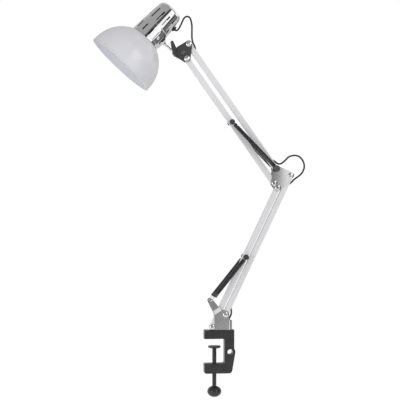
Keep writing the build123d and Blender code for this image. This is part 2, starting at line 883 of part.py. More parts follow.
# Chrome cap: a tapered, vented canister with a shallow step and a closed, rounded top
cap_side = [
    (cap_foot_radius, cap_foot),
    (cap_step_radius, cap_step),
    (cap_step_radius - cap_step_in, cap_step + cap_step_rise),
    (cap_top_radius, cap_top),
    (0, cap_top),
]
cap_inside = [(max(r - cap_wall, 0), t) for r, t in cap_side[:3]]
cap_inside += [(cap_top_radius - cap_wall, cap_top - cap_wall), (0, cap_top - cap_wall)]
gland_plane = Plane(origin=at(head_place(0, gland_along)), z_dir=at(head_side))
with BuildPart() as cap:
    with BuildSketch(head_section):
        with BuildLine():
            FilletPolyline(*cap_side, radius=[cap_edge, cap_edge, cap_shoulder])
            Line((0, cap_top), (0, cap_top - cap_wall))
            FilletPolyline(*cap_inside, radius=[cap_edge, cap_edge, cap_shoulder - cap_wall])
            Line(cap_inside[0], cap_side[0])
        make_face()
    revolve(axis=head_axis)
    for (low, high), phase in ((upper_slot, 0.5), (lower_slot, 0.0)):
        with BuildSketch(head_section):
            with Locations((0, cap_foot + (low + high) / 2)):
                SlotOverall(high - low, slot_width, rotation=90)
        slot_tool = extrude(amount=2 * cap_foot_radius, mode=Mode.PRIVATE)
        for index in range(slot_count):
            turn = 360 * (index + phase) / slot_count
            off_strap = abs((turn + 90) % 360 - 180)
            if low == lower_slot[0] and off_strap < strap_half_angle + 360 / slot_count / 2:
                continue
            add(slot_tool.rotate(head_axis, turn), mode=Mode.SUBTRACT)
    with BuildSketch(gland_plane):
        Circle(gland_nose + seat_gap)
    extrude(amount=2 * cap_foot_radius, mode=Mode.SUBTRACT)
save(cap.part, "cap")

# Dome shade with a rolled rim
neck_out = dome_at(neck)
neck_in = dome_at(neck, shade_inner)
diagonal = math.sqrt(0.5)
with BuildPart() as shade:
    with BuildSketch(head_section):
        with BuildLine():
            Line((shade_inner, 0), (shade_radius, 0))
            Line((shade_radius, 0), (shade_radius, shade_skirt))
            ThreePointArc(
                (shade_radius, shade_skirt),
                (shade_radius * diagonal, shade_skirt + shade_radius * diagonal),
                (neck, neck_out),
            )
            Line((neck, neck_out), (neck, neck_in))
            ThreePointArc(
                (neck, neck_in),
                (shade_inner * diagonal, shade_skirt + shade_inner * diagonal),
                (shade_inner, shade_skirt),
            )
            Line((shade_inner, shade_skirt), (shade_inner, 0))
        make_face()
        with Locations((shade_radius, rim_bead)):
            Circle(rim_bead)
    revolve(axis=head_axis)
save(shade.part, "shade")


def turned_piece(outline, name):
    """A piece turned about the head's axis from (radius, along) corners."""
    with BuildPart() as piece:
        with BuildSketch(head_section):
            with BuildLine():
                Polyline(*outline, close=True)
            make_face()
        revolve(axis=head_axis)
    save(piece.part, name)


# Lampholder: body, screw shell, centre contact and the ring that clamps the shade
turned_piece(
    [
        (holder_bore, holder_foot),
        (holder_radius, holder_foot),
        (holder_radius, holder_seat),
        (holder_flange, holder_seat),
        (holder_flange, holder_seat + holder_flange_height),
        (holder_radius, holder_seat + holder_flange_height),
        (holder_radius, holder_top),
        (0, holder_top),
        (0, holder_floor),
        (holder_bore, holder_floor),
    ],
    "lampholder_body",
)
shell_outer = holder_bore - running_play
turned_piece(
    [
        (shell_outer - shell_thickness, shell_from),
        (shell_outer, shell_from),
        (shell_outer, shell_to),
        (shell_outer - shell_thickness, shell_to),
    ],
    "lampholder_shell",
)
turned_piece(
    [
        (0, holder_floor - contact_height),
        (contact_radius, holder_floor - contact_height),
        (contact_radius, holder_floor),
        (0, holder_floor),
    ],
    "lampholder_contact",
)
turned_piece(
    [
        (holder_radius + running_play, ring_top - ring_height),
        (ring_outer, ring_top - ring_height),
        (ring_outer, ring_top),
        (holder_radius + running_play, ring_top),
    ],
    "shade_ring",
)

# Cord gland in the cap's side
cap_taper = (cap_step_radius - cap_step_in - cap_top_radius) / (cap_top - cap_step - cap_step_rise)
cap_at_gland = cap_top_radius + cap_taper * (cap_top - gland_along)
gland_seat = cap_at_gland + cap_taper * gland_flange + running_play
gland_face = gland_seat + gland_flange_height
gland_end = gland_face + gland_nose_height
with BuildPart() as cord_gland:
    with BuildSketch(gland_plane.offset(cap_at_gland - 3 * cap_wall)):
        Circle(gland_nose)
    extrude(amount=gland_end - cap_at_gland + 3 * cap_wall)
    with BuildSketch(gland_plane.offset(gland_seat)):
        Circle(gland_flange)
    extrude(amount=gland_flange_height)
    rings = cord_gland.edges().filter_by(GeomType.CIRCLE)
    fillet(rings.sort_by_distance(at(head_place(gland_end, gland_along)))[0], 0.8)
save(cord_gland.part, "cord_gland")


def cord_tube(origin, route, name):
    """A cord along hand-chosen points, given as steps (x, y, z) from an origin."""
    points = [at(origin) + Vector(*step) for step in route]
    runs = [(after - before).length for before, after in zip(points, points[1:])]
    runs[0] *= 2
    runs[-1] *= 2
    radii = []
    for i in range(1, len(points) - 1):
        turn = math.radians((points[i] - points[i - 1]).get_angle(points[i + 1] - points[i]))
        radii.append(0.45 * min(runs[i - 1], runs[i]) / math.tan(turn / 2))
    with BuildLine() as drawn:
        FilletPolyline(*points, radius=radii)
    path = drawn.wires()[0]
    with BuildPart() as cord:
        with BuildSketch(Plane(origin=points[0], z_dir=points[1] - points[0])) as section:
            RegularPolygon(cord_radius, cord_sides)
        sweep(path=path, clean=False)
    share = cord.part.volume / (section.sketch.area * path.length)
    print(name, "length", round(path.length, 1), "radii", [round(r, 1) for r in radii])
    print(name, "volume against section times length", round(share, 4))
    save(cord.part, name)


def slot_entry(heading, from_pivot, along, out):
    """A step from a pivot along its bar and out from the bar's corded face."""
    step = moved((0, 0), heading, from_pivot * along)
    step = moved(step, (heading[1], -heading[0]), out)
    return step[0], 0.0, step[1]


# Cord routes. Each crosses one joint only, and the next one goes on in line with it.
slot_floor = tube_half - tube_wall
gland_tip = head_place(gland_end, gland_along)
gland_away = stepped(gland_tip, moved((0, 0), head_side, gland_lead))
head_loop_a = [
    (gland_tip[0] - link_main_pivot[0], 0.0, gland_tip[1] - link_main_pivot[1]),
    (gland_away[0] - link_main_pivot[0], 0.0, gland_away[1] - link_main_pivot[1]),
    (-23.6, 0.0, 32.8),
    (-16.6, 0.0, 45.8),
    (-9.6, 0.0, 63.1),
    (-3.3, 0.0, 63.9),
]
head_loop_b = [
    (-3.3, 0.0, 63.9),
    (3.0, 0.0, 64.7),
    (8.3, 0.0, 46.5),
    (8.0, 0.0, 31.0),
    (8.1, 0.0, 19.0),
]
head_loop_c = [
    (8.1, 0.0, 19.0),
    (8.2, 0.0, 7.0),
    slot_entry(upper_heading, -1, 14.5, 9.5),
    slot_entry(upper_heading, -1, cord_slot_from_pivot, slot_floor),
]
for letter, route in zip("abc", (head_loop_a, head_loop_b, head_loop_c)):
    cord_tube(link_main_pivot, route, f"head_loop_{letter}")

elbow_loop_a = [
    slot_entry(upper_heading, 1, cord_slot_from_pivot, slot_floor),
    slot_entry(upper_heading, 1, 14.8, 9.2),
    slot_entry(upper_heading, 1, 6.5, 9.8),
    (13.5, 0.0, 11.0),
    (24.0, 0.0, 20.5),
    (33.0, 0.0, 30.0),
    (43.5, 0.0, 30.8),
]
slot_reach = slot_entry(lower_heading, -1, 13.8, 9.4)
slot_end = slot_entry(lower_heading, -1, cord_slot_from_pivot, slot_floor)
elbow_loop_b = [
    (43.5, 0.0, 30.8),
    (54.0, 0.0, 31.6),
    (66.5, 0.0, 17.0),
    (68.5, 0.0, 1.5),
    (61.0, 0.0, -12.5),
    (50.0, 0.0, -20.5),
    (42.5, 0.0, -25.5),
    (slot_reach[0] - elbow_step[0], 0.0, slot_reach[2] - elbow_step[1]),
    (slot_end[0] - elbow_step[0], 0.0, slot_end[2] - elbow_step[1]),
]
for letter, route in zip("ab", (elbow_loop_a, elbow_loop_b)):
    cord_tube(elbow_main_upper, route, f"elbow_loop_{letter}")

# Put-away lead: a flat coil of two layers behind the clamp's upper jaw, on the table's plane.
# The upper layer spirals in, the lead steps down where the spiral turns back, and the lower
# layer spirals out to the plug.
lead_outer = lead_inner + lead_pitch * lead_turns
lead_centre_y = clamp_half + 2 * soft_gap + cord_radius + lead_outer
lead_low = 2 * soft_gap + tie_thickness + cord_radius
lead_high = lead_low + lead_pitch
lead_start = (lead_centre_x + lead_outer, lead_centre_y, lead_high)
tail_a = [
    slot_entry(lower_heading, 1, cord_slot_from_pivot, slot_floor),
    slot_entry(lower_heading, 1, 13.5, 9.5),
    (14.6, 4.5, -1.5),
    (11.4, 10.2, -9.5),
    (8.0, 12.9, -18.5),
]
tail_b = [
    (8.0, 12.9, -18.5),
    (5.73, 14.7, -24.5),
    (10.6, 20.0, -33.6),
    (18.6, 29.0, -42.6),
    (lead_start[0] - base_main_pivot[0], lead_start[1] - 7.2, lead_start[2] - base_main_pivot[1]),
    (lead_start[0] - base_main_pivot[0], lead_start[1], lead_start[2] - base_main_pivot[1]),
]
for letter, route in zip("ab", (tail_a, tail_b)):
    cord_tube(base_main_pivot, route, f"cord_tail_{letter}")


def lead_point(turn):
    """Place on the put-away coil after so many turns from its outer end."""
    angle = 2 * math.pi * turn
    radius = lead_inner + lead_pitch * abs(turn - lead_turns)
    drop = min(max(2 * (turn - lead_turns) + 0.5, 0), 1)
    across, rear = radius * math.cos(angle), radius * math.sin(angle)
    return Vector(lead_centre_x + across, lead_centre_y + rear, lead_high - lead_pitch * drop)


def lead_flow(turn, part=0.01):
    return (lead_point(turn + part) - lead_point(turn - part)).normalized()


plug_z = soft_gap + plug_thickness / 2
relief_near = plug_place[1]
body_near = relief_near + relief_length
body_far = body_near + plug_length_along
lead_end = Vector(plug_place[0], relief_near, plug_z)
with BuildLine() as winding:
    for quarter in range(8 * lead_turns):
        turn, after = quarter / 4, (quarter + 1) / 4
        biarc(lead_point(turn), lead_flow(turn), lead_point(after), lead_flow(after))
    rearward = Vector(0, 1, 0)
    past_coil = Vector(*lead_pass, lead_low)
    biarc(lead_point(2 * lead_turns), lead_flow(2 * lead_turns), past_coil, rearward)
    biarc(past_coil, rearward, lead_end, rearward)
lead = winding.wires()[0]
with BuildPart() as lead_hank:
    with BuildSketch(Plane(origin=lead @ 0, z_dir=lead % 0)) as lead_section:
        RegularPolygon(cord_radius, cord_sides)
    sweep(path=lead, clean=False)
lead_gap = least_gap(lead, 1200, lead_inner * 2, 2 * cord_radius)
lead_share = lead_hank.part.volume / (lead_section.sketch.area * lead.length)
print("lead_hank length", round(lead.length, 1), "least gap", round(lead_gap, 2))
print("lead_hank volume against section times length", round(lead_share, 4))
save(lead_hank.part, "lead_hank")

# Strap round the coil's left side
tie_near = lead_inner - cord_radius - soft_gap
tie_across = lead_outer + cord_radius + soft_gap - tie_near
tie_tall = lead_pitch + 2 * cord_radius + 2 * soft_gap
tie_place = (lead_centre_x - tie_near - tie_across / 2, (lead_low + lead_high) / 2)
with BuildPart() as hank_tie:
    with BuildSketch(side(lead_centre_y + tie_width / 2)):
        with Locations(tie_place):
            RectangleRounded(
                tie_across + 2 * tie_thickness, tie_tall + 2 * tie_thickness, tie_corner
            )
            RectangleRounded(tie_across, tie_tall, tie_corner - tie_thickness, mode=Mode.SUBTRACT)
    extrude(amount=tie_width)
save(hank_tie.part, "hank_tie")

# Two-pin plug behind the coil, lying on its flat side
plug_x = plug_place[0]
with BuildPart() as plug_body:
    with BuildSketch(Plane.XY.offset(plug_z)):
        with BuildLine():
            Polyline(
                (plug_x - relief_radius - 1, body_near),
                (plug_x + relief_radius + 1, body_near),
                (plug_x + plug_width / 2, body_far - plug_shoulder),
                (plug_x + plug_nose_width / 2, body_far),
                (plug_x - plug_nose_width / 2, body_far),
                (plug_x - plug_width / 2, body_far - plug_shoulder),
                close=True,
            )
        make_face()
    extrude(amount=plug_thickness / 2, both=True)
    fillet(plug_body.faces().filter_by(Axis.Z).edges(), plug_edge)
    with BuildSketch(side(body_near)):
        with Locations((plug_x, plug_z)):
            Circle(relief_radius + 1)
    with BuildSketch(side(relief_near)):
        with Locations((plug_x, plug_z)):
            Circle(relief_radius)
    loft()
save(plug_body.part, "plug_body")
with BuildPart() as plug_pins:
    with BuildSketch(side(body_far)):
        with Locations((plug_x - pin_spacing / 2, plug_z), (plug_x + pin_spacing / 2, plug_z)):
            Circle(pin_radius)
    extrude(amount=-pin_length)
    fillet(plug_pins.edges().group_by(Axis.Y)[-1], 0.8)
save(plug_pins.part, "plug_pins")

for label, place in (
    ("base_main_pivot", base_main_pivot),
    ("base_second_pivot", base_second_pivot),
    ("ear_tip", ear_tip),
    ("lower_pin", lower_pin),
    ("elbow_main_lower", elbow_main_lower),
    ("elbow_second_lower", elbow_second_lower),
    ("elbow_main_upper", elbow_main_upper),
    ("elbow_second_upper", elbow_second_upper),
    ("upper_pin", upper_pin),
    ("link_main_pivot", link_main_pivot),
    ("link_second_pivot", link_second_pivot),
    ("tilt_pivot", tilt_pivot),
    ("rim_centre", rim_centre),
    ("rod_start", rod_start),
    ("gland_tip", gland_tip),
):
    print(label, round(place[0], 3), round(place[1], 3))
print("lead centre", lead_centre_x, round(lead_centre_y, 2), "layers", lead_low, lead_high)
print("lampholder seat", round(holder_seat, 3), "cap foot", round(cap_foot, 3))
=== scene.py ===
import json
import math
import bpy
from mathutils import Matrix, Vector


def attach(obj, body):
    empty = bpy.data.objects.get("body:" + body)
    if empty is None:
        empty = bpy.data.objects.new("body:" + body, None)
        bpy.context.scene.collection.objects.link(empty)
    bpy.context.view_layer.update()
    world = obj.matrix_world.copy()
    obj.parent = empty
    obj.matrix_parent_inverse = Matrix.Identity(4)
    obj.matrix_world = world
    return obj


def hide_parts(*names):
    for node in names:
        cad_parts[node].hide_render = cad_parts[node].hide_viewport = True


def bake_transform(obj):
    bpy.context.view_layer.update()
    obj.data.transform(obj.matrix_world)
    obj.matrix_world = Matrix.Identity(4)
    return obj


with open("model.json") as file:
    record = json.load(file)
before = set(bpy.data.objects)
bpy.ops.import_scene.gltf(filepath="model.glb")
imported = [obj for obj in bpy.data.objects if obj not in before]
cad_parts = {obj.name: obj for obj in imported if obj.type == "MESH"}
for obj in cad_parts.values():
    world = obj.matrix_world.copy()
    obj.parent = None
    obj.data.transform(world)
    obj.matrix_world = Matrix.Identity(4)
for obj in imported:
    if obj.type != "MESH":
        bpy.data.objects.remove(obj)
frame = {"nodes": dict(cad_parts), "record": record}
nodes = frame["nodes"]
scene = bpy.context.scene
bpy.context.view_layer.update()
bpy.ops.object.select_all(action="DESELECT")
print("frame loaded", len(nodes), "nodes")

# Places in the lamp's middle plane, in metres.
baseMain = Vector((0.0254, 0.0, 0.0556))
baseSecond = Vector((-0.005317, 0.0, 0.026956))
earTip = Vector((-0.0094, 0.0, 0.0876))
lowerPin = Vector((0.071314, 0.0, 0.187616))
elbowMain = Vector((0.143231, 0.0, 0.391618))
elbowSecond = Vector((0.139235, 0.0, 0.358105))
elbowLowerMain = Vector((0.178231, 0.0, 0.376018))
elbowLowerSecond = Vector((0.147515, 0.0, 0.347374))
upperPin = Vector((0.039354, 0.0, 0.498133))
linkMain = Vector((-0.060015, 0.0, 0.676558))
linkSecond = Vector((-0.064011, 0.0, 0.643046))
tiltPivot = Vector((-0.073715, 0.0, 0.657558))
rimCentre = Vector((-0.216395, 0.0, 0.626555))
headRise = math.radians(47.3)
headHeading = Vector((math.cos(headRise), 0, math.sin(headRise)))  # up the head's axis
headSide = Vector((math.sin(headRise), 0, -math.cos(headRise)))  # from that axis towards the arm
rearward = Vector((0, 1, 0))

viewSettings = {
    "target": (-0.0332, 0.0, 0.319),
    "place": (-0.3695, -2.7394, 0.319),
    "lens": 108.0,
    "sensor": 36.0,
    "clip": 0.01,
}


def aimOf(settings):
    # the turn that looks from a place to its target
    heading = Vector(settings["target"]) - Vector(settings["place"])
    return heading.to_track_quat("-Z", "Y").to_euler()


def makeCamera(settings):
    bpy.ops.object.camera_add(location=settings["place"], rotation=aimOf(settings))
    camera = bpy.context.object
    camera.data.lens = settings["lens"]
    camera.data.sensor_width = settings["sensor"]
    camera.data.clip_start = settings["clip"]
    scene.camera = camera


makeCamera(viewSettings)
scene.view_settings.view_transform = "Standard"
print("camera placed")

# What all finishes share.
finishForm = {
    "ior": 1.5, "coatRough": 0.05, "broadDetail": 3.0, "fineDetail": 5.0,
    "tintStops": (0.3, 0.7),  # noise values where the dark and the light tint are full
    "roughSpan": (0.35, 0.65),  # noise values that spread over the roughness
    "wallSpan": (0.15, 0.25),  # from an inner wall to an outer one
}


def newMaterial(name):
    material = bpy.data.materials.new(name)
    material.use_nodes = True
    tree = material.node_tree
    return material, tree, tree.nodes["Principled BSDF"]


def addNoise(tree, scale, detail, stretch):
    place = tree.nodes.new("ShaderNodeTexCoord")
    mapping = tree.nodes.new("ShaderNodeMapping")
    mapping.inputs["Scale"].default_value = stretch
    noise = tree.nodes.new("ShaderNodeTexNoise")
    noise.inputs["Scale"].default_value = scale
    noise.inputs["Detail"].default_value = detail
    tree.links.new(place.outputs["Object"], mapping.inputs["Vector"])
    tree.links.new(mapping.outputs["Vector"], noise.inputs["Vector"])
    return noise.outputs["Fac"]


def addRange(tree, source, span, low, high):
    spread = tree.nodes.new("ShaderNodeMapRange")
    spread.inputs["From Min"].default_value = span[0]
    spread.inputs["From Max"].default_value = span[1]
    spread.inputs["To Min"].default_value = low
    spread.inputs["To Max"].default_value = high
    tree.links.new(source, spread.inputs["Value"])
    return spread.outputs["Result"]


def addBump(tree, shader, source, strength, distance):
    bump = tree.nodes.new("ShaderNodeBump")
    bump.inputs["Strength"].default_value = strength
    bump.inputs["Distance"].default_value = distance
    tree.links.new(source, bump.inputs["Height"])
    tree.links.new(bump.outputs["Normal"], shader.inputs["Normal"])


def addTint(tree, source, settings):
    ramp = tree.nodes.new("ShaderNodeValToRGB")
    colours = (settings["dark"], settings["light"])
    for stop, place, colour in zip(ramp.color_ramp.elements, finishForm["tintStops"], colours):
        stop.position = place
        stop.color = (*colour, 1)
    tree.links.new(source, ramp.inputs["Fac"])
    return ramp.outputs["Color"]


def addVectorStep(tree, operation, source):
    step = tree.nodes.new("ShaderNodeVectorMath")
    step.operation = operation
    tree.links.new(source, step.inputs[0])
    return step


def addPaintedInside(tree, outer, source, settings):
    # paints light and shade on a hollow's inner wall, where the surface looks at the hollow's
    # middle: lighter inside the shade, darker inside the cap
    place = tree.nodes.new("ShaderNodeTexCoord")
    reach = addVectorStep(tree, "SUBTRACT", place.outputs["Object"])
    reach.inputs[1].default_value = settings["middle"]
    away = addVectorStep(tree, "NORMALIZE", reach.outputs["Vector"])
    facing = addVectorStep(tree, "DOT_PRODUCT", away.outputs["Vector"])
    tree.links.new(place.outputs["Normal"], facing.inputs[1])
    share = addRange(tree, facing.outputs["Value"], finishForm["wallSpan"], 0, 1)
    inner = addTint(tree, source, settings)
    mix = tree.nodes.new("ShaderNodeMix")
    mix.data_type = "RGBA"
    tree.links.new(share, mix.inputs[0])
    tree.links.new(inner, mix.inputs[6])  # 6, 7 and 2 are the colour sockets
    tree.links.new(outer, mix.inputs[7])
    return mix.outputs[2]


def makeFinish(name, settings):
    material, tree, shader = newMaterial(name)
    shader.inputs["Metallic"].default_value = settings.get("metallic", 0.0)
    shader.inputs["IOR"].default_value = finishForm["ior"]
    shader.inputs["Coat Weight"].default_value = settings.get("coat", 0.0)
    shader.inputs["Coat Roughness"].default_value = finishForm["coatRough"]
    stretch = settings.get("stretch", (1, 1, 1))
    broad = addNoise(tree, settings["broad"], finishForm["broadDetail"], stretch)
    tint = addTint(tree, broad, settings)
    # painted light and shade on an inner wall, for a finish that has an inside tint
    if "inside" in settings:
        tint = addPaintedInside(tree, tint, broad, settings["inside"])
    tree.links.new(tint, shader.inputs["Base Color"])
    fine = addNoise(tree, settings["fine"], finishForm["fineDetail"], stretch)
    rough = addRange(tree, fine, finishForm["roughSpan"], *settings["rough"])
    tree.links.new(rough, shader.inputs["Roughness"])
    addBump(tree, shader, fine, settings["bump"], settings["depth"])
    return material


finishes = {
    "shade_white": {
        "dark": (0.77, 0.76, 0.80), "light": (0.82, 0.81, 0.85), "broad": 9.0, "fine": 420.0,
        "rough": (0.28, 0.34), "bump": 0.02, "depth": 0.0002, "coat": 0.35,
        # painted light: the shade's inner wall is tinted lighter and bluer than its outside,
        # standing in for light in the hollow
        "inside": {
            "middle": rimCentre + headHeading * 0.007,
            "dark": (0.86, 0.86, 0.92), "light": (0.90, 0.90, 0.955),
        },
    },
    "bar_white": {
        "dark": (0.82, 0.82, 0.84), "light": (0.88, 0.88, 0.895), "broad": 14.0, "fine": 500.0,
        "rough": (0.26, 0.36), "bump": 0.05, "depth": 0.0002, "coat": 0.3,
    },
    "chrome": {
        "dark": (0.88, 0.88, 0.89), "light": (0.95, 0.95, 0.95), "broad": 30.0, "fine": 700.0,
        "rough": (0.05, 0.10), "bump": 0.02, "depth": 0.0001, "metallic": 1.0,
    },
    "cap_chrome_painted_shade": {
        "dark": (0.90, 0.90, 0.91), "light": (0.95, 0.95, 0.95), "broad": 30.0, "fine": 700.0,
        "rough": (0.06, 0.11), "bump": 0.02, "depth": 0.0001, "metallic": 1.0,
        # painted shade: the cap's inside is near-black metal, so its slots and hollow read dark
        "inside": {
            "middle": rimCentre + headHeading * 0.125,
            "dark": (0.022, 0.022, 0.023), "light": (0.04, 0.04, 0.042),
        },
    },
    "zinc": {
        "dark": (0.64, 0.64, 0.65), "light": (0.86, 0.86, 0.855), "broad": 34.0, "fine": 900.0,
        "rough": (0.15, 0.23), "bump": 0.05, "depth": 0.0001, "metallic": 1.0,
        "stretch": (1, 1, 0.45),
    },
    "bolt_zinc": {
        "dark": (0.70, 0.70, 0.71), "light": (0.90, 0.90, 0.90), "broad": 120.0, "fine": 1100.0,
        "rough": (0.10, 0.18), "bump": 0.05, "depth": 0.0001, "metallic": 1.0,
    },
    "black_cast": {
        "dark": (0.018, 0.018, 0.019), "light": (0.034, 0.034, 0.035),
        "broad": 60.0, "fine": 260.0, "rough": (0.30, 0.44), "bump": 0.35, "depth": 0.0005,
    },
    "black_plastic": {
        "dark": (0.036, 0.036, 0.037), "light": (0.056, 0.056, 0.058),
        "broad": 40.0, "fine": 1500.0, "rough": (0.26, 0.36), "bump": 0.08, "depth": 0.0001,
    },
    # lighter black: the elbow spools' grey, and a painted highlight on the tilt bolt's domed head
    "grey_black_and_sheen": {
        "dark": (0.07, 0.07, 0.072), "light": (0.13, 0.13, 0.132),
        "broad": 150.0, "fine": 900.0, "rough": (0.24, 0.34), "bump": 0.06, "depth": 0.0001,
    },
    "black_gloss": {
        "dark": (0.018, 0.018, 0.019), "light": (0.030, 0.030, 0.031),
        "broad": 70.0, "fine": 800.0, "rough": (0.12, 0.2), "bump": 0.03, "depth": 0.0001,
    },
    "black_steel": {
        "dark": (0.024, 0.024, 0.025), "light": (0.046, 0.046, 0.047),
        "broad": 120.0, "fine": 900.0, "rough": (0.2, 0.32), "bump": 0.05, "depth": 0.0001,
    },
    "cord_black": {
        "dark": (0.012, 0.012, 0.012), "light": (0.022, 0.022, 0.022),
        "broad": 90.0, "fine": 1200.0, "rough": (0.38, 0.5), "bump": 0.06, "depth": 0.0001,
    },
    "brass": {
        "dark": (0.62, 0.45, 0.20), "light": (0.78, 0.60, 0.30), "broad": 60.0, "fine": 700.0,
        "rough": (0.22, 0.34), "bump": 0.04, "depth": 0.0001, "metallic": 1.0,
    },
}
materials = {name: makeFinish(name, settings) for name, settings in finishes.items()}
for entry in frame["record"]["subparts"]:
    data = nodes[entry["node"]].data
    data.materials.clear()
    data.materials.append(materials[entry["material_slot"]])
# the cap takes the chrome with painted shade inside
nodes["cap"].data.materials[0] = materials["cap_chrome_painted_shade"]
# the elbow spools take the lighter grey black
nodes["elbow_spools"].data.materials[0] = materials["grey_black_and_sheen"]
print("materials made", len(materials))

endNormal = 0.9  # a face whose normal has this much of Z is an end face
edgeSegments = 2


def looksUp(face):
    return face.normal.z > endNormal


def looksDown(face):
    return face.normal.z < -endNormal


def pickFaces(piece, test):
    # leaves the piece in edit mode with the faces selected that pass the test
    bpy.ops.object.mode_set(mode="EDIT")
    bpy.ops.mesh.select_mode(type="FACE")
    bpy.ops.mesh.select_all(action="DESELECT")
    bpy.ops.object.mode_set(mode="OBJECT")
    for face in piece.data.polygons:
        face.select = test(face)
    bpy.ops.object.mode_set(mode="EDIT")


def leaveEdit():
    bpy.ops.object.mode_set(mode="OBJECT")


def roundEdges(piece, test, offset):
    pickFaces(piece, test)
    bpy.ops.mesh.bevel(offset=offset, segments=edgeSegments, affect="EDGES")
    leaveEdit()


def faceOutward():
    bpy.ops.mesh.select_all(action="SELECT")
    bpy.ops.mesh.normals_make_consistent(inside=False)


def settle():
    # the object goes to the origin, with its place in its mesh
    bpy.ops.object.transform_apply(location=True, rotation=True, scale=True)
    return bpy.context.object


def takeUp(pieces):
    bpy.ops.object.select_all(action="DESELECT")
    for piece in pieces:
        piece.select_set(True)
    bpy.context.view_layer.objects.active = pieces[0]


def addCylinder(radius, low, high, sides):
    bpy.ops.object.select_all(action="DESELECT")
    bpy.ops.mesh.primitive_cylinder_add(
        vertices=sides, radius=radius, depth=high - low, location=(0, 0, (low + high) / 2),
    )
    return settle()


def windUp(piece, rise, turns, around, merge=None):
    wind = piece.modifiers.new("wind", "SCREW")
    wind.axis = "Z"
    wind.angle = 2 * math.pi
    wind.screw_offset = rise
    wind.iterations = turns
    wind.steps = around
    wind.render_steps = around
    if merge:
        wind.use_merge_vertices = True
        wind.merge_threshold = merge
    bpy.ops.object.modifier_apply(modifier=wind.name)


def cutWith(piece, tool, operation):
    cut = piece.modifiers.new("cut", "BOOLEAN")
    cut.operation = operation
    cut.solver = "EXACT"
    cut.object = tool
    takeUp([piece])
    bpy.ops.object.modifier_apply(modifier=cut.name)
    bpy.data.objects.remove(tool)


def joinPieces(pieces):
    takeUp(pieces)
    bpy.ops.object.join()
    return bpy.context.object


def copyTo(master, stands):
    # one copy with a mesh of its own for each stand, then all of them as one piece
    copies = []
    for stand in stands:
        twin = master.copy()
        twin.data = master.data.copy()
        scene.collection.objects.link(twin)
        twin.matrix_world = stand
        copies.append(twin)
    takeUp(copies)
    settle()
    bpy.data.objects.remove(master)
    return joinPieces(copies)


def standOn(place, outward):
    # a frame at a place whose Z looks outward
    return Matrix.Translation(place) @ outward.to_track_quat("Z", "Y").to_matrix().to_4x4()


def finishPiece(piece, name, slotName, body, replaced, sharp, finish=None):
    takeUp([piece])
    piece.name = name
    piece.data.name = name
    bpy.ops.object.shade_smooth_by_angle(angle=math.radians(sharp))
    piece.data.materials.clear()
    piece.data.materials.append(materials[finish or slotName])
    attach(piece, body)
    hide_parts(*replaced)


cordRadius = 0.002
cordForm = {"ringSteps": 3, "sharp": 60, "loopSteps": 12, "leadSteps": 4}
millimetre = 0.001


def millimetres(origin, steps):
    return [origin + Vector(step) * millimetre for step in steps]


def pathLength(path):
    return sum((b - a).length for a, b in zip(path, path[1:]))


def makeTube(name, points, resolution):
    # a cord's own smooth line, read before it gets its thickness
    data = bpy.data.curves.new(name, "CURVE")
    data.dimensions = "3D"
    data.resolution_u = resolution
    spline = data.splines.new("NURBS")
    spline.points.add(len(points) - 1)
    for point, place in zip(spline.points, points):
        point.co = (*place, 1)
    spline.order_u = 3
    spline.use_endpoint_u = True
    line = bpy.data.objects.new(name, data)
    scene.collection.objects.link(line)
    mesh = bpy.data.meshes.new_from_object(line)
    path = [vertex.co.copy() for vertex in mesh.vertices]
    bpy.data.meshes.remove(mesh)
    data.bevel_depth = cordRadius
    data.bevel_resolution = cordForm["ringSteps"]
    data.use_fill_caps = True
    takeUp([line])
    bpy.ops.object.convert(target="MESH")
    piece = bpy.context.object
    bpy.ops.object.shade_smooth_by_angle(angle=math.radians(cordForm["sharp"]))
    piece.data.materials.clear()
    piece.data.materials.append(materials["cord_black"])
    return piece, path


